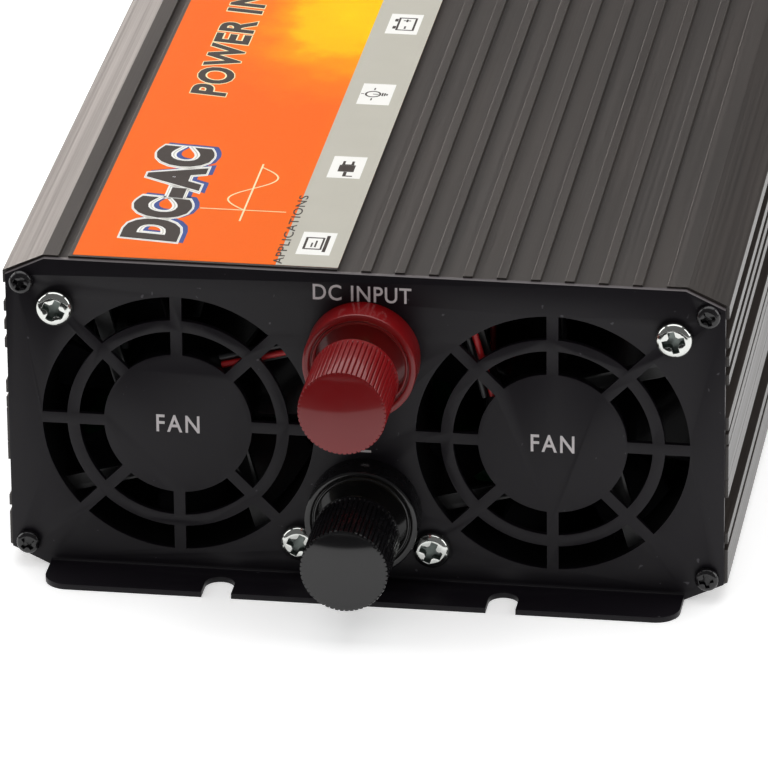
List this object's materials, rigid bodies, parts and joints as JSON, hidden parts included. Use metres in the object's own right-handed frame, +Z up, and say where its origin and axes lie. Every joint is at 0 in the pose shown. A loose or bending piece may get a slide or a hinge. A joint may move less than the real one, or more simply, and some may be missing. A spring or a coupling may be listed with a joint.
{
  "type": "power inverter",
  "caption": "Box-shaped battery-to-mains inverter: ribbed aluminium extrusion, black end panels with foot flanges, fan grilles and screw terminals at one end, mains outlets at the other.",
  "frame": {"origin": "middle of the underside of the extruded housing, on the surface the inverter stands on", "axes": "+Z up; +Y along the extrusion from the battery end to the mains end; +X to the right as the battery end is seen from the front"},
  "size_m": [0.1496, 0.3645, 0.0696],
  "materials": {
    "housing_aluminium": "satin anodised, warm dark grey",
    "label_film": "printed film, satin",
    "panel_black": "black powder coat, satin",
    "screw_black": "black oxide",
    "screw_bright": "nickel plated",
    "fan_black": "moulded",
    "fan_blade_black": "moulded, glossy",
    "shaft_steel": "ground",
    "magnet_ferrite": "bonded ferrite",
    "bearing_brass": "sintered bronze",
    "stator_steel": "laminated",
    "lead_red": "insulated lead",
    "lead_black": "insulated lead",
    "connector_white": "moulded",
    "terminal_red": "moulded",
    "terminal_black": "moulded",
    "terminal_brass": "brass, machined",
    "bushing_nylon": "moulded",
    "copper": "copper",
    "board_green": "solder mask",
    "fuse_amber": "translucent moulding",
    "capacitor_sleeve": "shrink sleeve",
    "ferrite": "sintered ferrite",
    "winding_tape": "polyester tape",
    "choke_yellow": "coated iron powder",
    "chip_epoxy": "moulded epoxy",
    "pad_grey": "silicone",
    "clamp_aluminium": "mill finish",
    "outlet_black": "moulded",
    "rocker_black": "moulded",
    "lens_green": "translucent"
  },
  "bodies": {
    "case": {"upper_housing": "housing_aluminium", "lower_housing": "housing_aluminium", "top_label": "label_film", "dc_end_panel": "panel_black", "ac_end_panel": "panel_black", "dc_panel_screws": "screw_black", "ac_panel_screws": "screw_black", "fan_screws": "screw_bright", "fan_nuts": "screw_bright", "left_fan_frame": "fan_black", "right_fan_frame": "fan_black", "fan_bearings": "bearing_brass", "fan_stators": "stator_steel", "fan_leads_red": "lead_red", "fan_leads_black": "lead_black", "fan_connectors": "connector_white", "red_terminal_collar": "terminal_red", "black_terminal_collar": "terminal_black", "terminal_studs": "terminal_brass", "terminal_bushings": "bushing_nylon", "terminal_nuts": "terminal_brass", "positive_busbar": "copper", "negative_busbar": "copper", "main_board": "board_green", "board_standoffs": "screw_bright", "board_screws": "screw_bright", "blade_fuses": "fuse_amber", "input_capacitors": "capacitor_sleeve", "transformer_cores": "ferrite", "transformer_windings": "winding_tape", "bus_capacitors": "capacitor_sleeve", "output_choke_core": "choke_yellow", "output_choke_winding": "copper", "driver_board": "board_green", "driver_chips": "chip_epoxy", "power_transistors": "chip_epoxy", "insulating_pads": "pad_grey", "transistor_clamps": "clamp_aluminium", "clamp_screws": "screw_bright", "left_outlet": "outlet_black", "right_outlet": "outlet_black", "outlet_contacts": "terminal_brass", "mains_leads": "lead_black", "power_switch_frame": "outlet_black", "indicator_lenses": "lens_green", "earth_screw": "screw_bright", "earth_nuts": "screw_bright"},
    "left_fan_rotor": {"left_fan_impeller": "fan_blade_black", "left_fan_shaft": "shaft_steel", "left_fan_magnet": "magnet_ferrite"},
    "right_fan_rotor": {"right_fan_impeller": "fan_blade_black", "right_fan_shaft": "shaft_steel", "right_fan_magnet": "magnet_ferrite"},
    "red_washer": {"red_terminal_washer": "terminal_brass"},
    "red_knob": {"red_terminal_knob": "terminal_red", "red_knob_insert": "terminal_brass"},
    "black_washer": {"black_terminal_washer": "terminal_brass"},
    "black_knob": {"black_terminal_knob": "terminal_black", "black_knob_insert": "terminal_brass"},
    "switch_rocker": {"power_switch_rocker": "rocker_black"}
  },
  "joints": [
    {"name": "left_fan_spin", "type": "hinge", "parent": "case", "child": "left_fan_rotor", "pos_m": [-0.0388, -0.148, 0.0336], "axis": [0, 1, 0], "continuous": true},
    {"name": "right_fan_spin", "type": "hinge", "parent": "case", "child": "right_fan_rotor", "pos_m": [0.0388, -0.148, 0.0336], "axis": [0, 1, 0], "continuous": true},
    {"name": "red_washer_slide", "type": "slide", "parent": "case", "child": "red_washer", "axis": [0, 1, 0], "range_m": [-0.005, 0.0094]},
    {"name": "red_knob_turn", "type": "hinge", "parent": "red_washer", "child": "red_knob", "pos_m": [0, -0.18, 0.0513], "axis": [0, 1, 0], "range_deg": [-1450, 2720]},
    {"name": "black_washer_slide", "type": "slide", "parent": "case", "child": "black_washer", "axis": [0, 1, 0], "range_m": [-0.005, 0.0094]},
    {"name": "black_knob_turn", "type": "hinge", "parent": "black_washer", "child": "black_knob", "pos_m": [0, -0.18, 0.0163], "axis": [0, 1, 0], "range_deg": [-1450, 2720]},
    {"name": "power_switch_rock", "type": "hinge", "parent": "case", "child": "switch_rocker", "pos_m": [0.045, 0.1606, 0.045], "axis": [1, 0, 0], "range_deg": [0, 20]}
  ],
  "couplings": [
    {"joint": "red_knob_turn", "follows": "red_washer_slide", "rad_per_m": 5026.5},
    {"joint": "black_knob_turn", "follows": "black_washer_slide", "rad_per_m": 5026.5}
  ]
}
